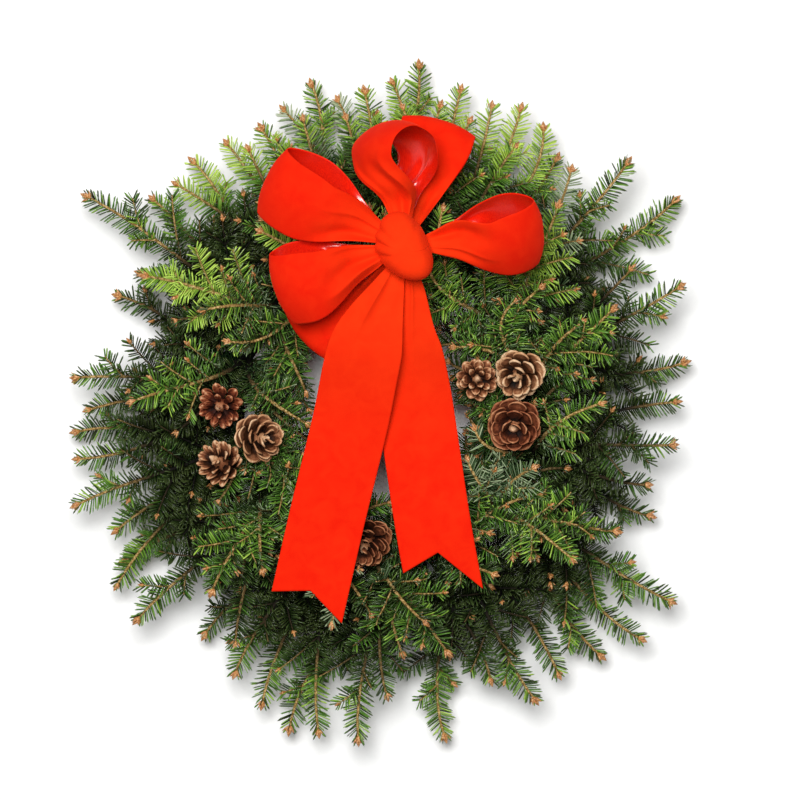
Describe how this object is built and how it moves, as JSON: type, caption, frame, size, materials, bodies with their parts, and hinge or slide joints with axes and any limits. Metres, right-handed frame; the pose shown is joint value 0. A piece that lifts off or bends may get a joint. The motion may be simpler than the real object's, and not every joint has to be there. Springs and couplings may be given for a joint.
{
  "type": "fresh evergreen wreath",
  "caption": "Round wreath of cut fir sprays clamped on a steel wire ring, with open pine cones wired on and a red velvet bow with long tails, lying on its back.",
  "frame": {"origin": "middle of the whole wreath's box in plan, at the height of the surface that the ring lies on", "axes": "+Z out of the wreath's face, up from the surface it lies on; +Y to the wreath's top, from the tails' ends to the knot; +X to the viewer's right"},
  "size_m": [0.531, 0.5856, 0.1974],
  "materials": {
    "steel_wire": "thin dark green enamel over drawn steel wire, slightly worn",
    "fir_foliage": "dark green waxy fir needles on tan bark, satin",
    "fresh_fir_foliage": "fresh yellow-green waxy fir needles on tan bark, satin",
    "pine_cone": "dry brown woody scales with pale tan rims, matt",
    "red_velvet_ribbon": "bright red flocked velvet outside, glossy red satin inside"
  },
  "bodies": {
    "root": {"clamp_ring": "steel_wire", "bow_loop_upper_left": "red_velvet_ribbon", "bow_loop_lower_left": "red_velvet_ribbon", "bow_loop_back_left": "red_velvet_ribbon", "bow_loop_top": "red_velvet_ribbon", "bow_loop_back_top": "red_velvet_ribbon", "bow_loop_right": "red_velvet_ribbon", "bow_tail_left": "red_velvet_ribbon", "bow_tail_right": "red_velvet_ribbon", "bow_knot": "red_velvet_ribbon", "bow_tie_wire": "steel_wire", "right_cone_wire": "steel_wire", "right_cone_1": "pine_cone", "right_cone_2": "pine_cone", "right_cone_3": "pine_cone", "left_cone_wire": "steel_wire", "left_cone_1": "pine_cone", "left_cone_2": "pine_cone", "left_cone_3": "pine_cone", "bottom_cone_wire": "steel_wire", "bottom_cone": "pine_cone", "back_spray_01": "fir_foliage", "back_spray_02": "fir_foliage", "back_spray_03": "fir_foliage", "back_spray_04": "fir_foliage", "back_spray_05": "fir_foliage", "back_spray_06": "fir_foliage", "back_spray_07": "fir_foliage", "back_spray_08": "fir_foliage", "back_spray_09": "fir_foliage", "back_spray_10": "fir_foliage", "back_spray_11": "fir_foliage", "back_spray_12": "fir_foliage", "back_spray_13": "fir_foliage", "back_spray_14": "fir_foliage", "back_spray_15": "fir_foliage", "back_spray_16": "fir_foliage", "back_spray_17": "fir_foliage", "back_spray_18": "fir_foliage", "back_spray_19": "fir_foliage", "back_spray_20": "fir_foliage", "back_spray_21": "fir_foliage", "back_spray_22": "fir_foliage", "back_spray_23": "fir_foliage", "back_spray_24": "fir_foliage", "back_spray_25": "fir_foliage", "back_spray_26": "fir_foliage", "back_spray_27": "fir_foliage", "back_spray_28": "fir_foliage", "front_spray_01": "fir_foliage", "front_spray_02": "fresh_fir_foliage", "front_spray_03": "fresh_fir_foliage", "front_spray_04": "fir_foliage", "front_spray_05": "fir_foliage", "front_spray_06": "fir_foliage", "front_spray_07": "fir_foliage", "inner_spray_01": "fir_foliage", "inner_spray_02": "fir_foliage", "inner_spray_03": "fir_foliage", "inner_spray_04": "fir_foliage"}
  },
  "joints": []
}
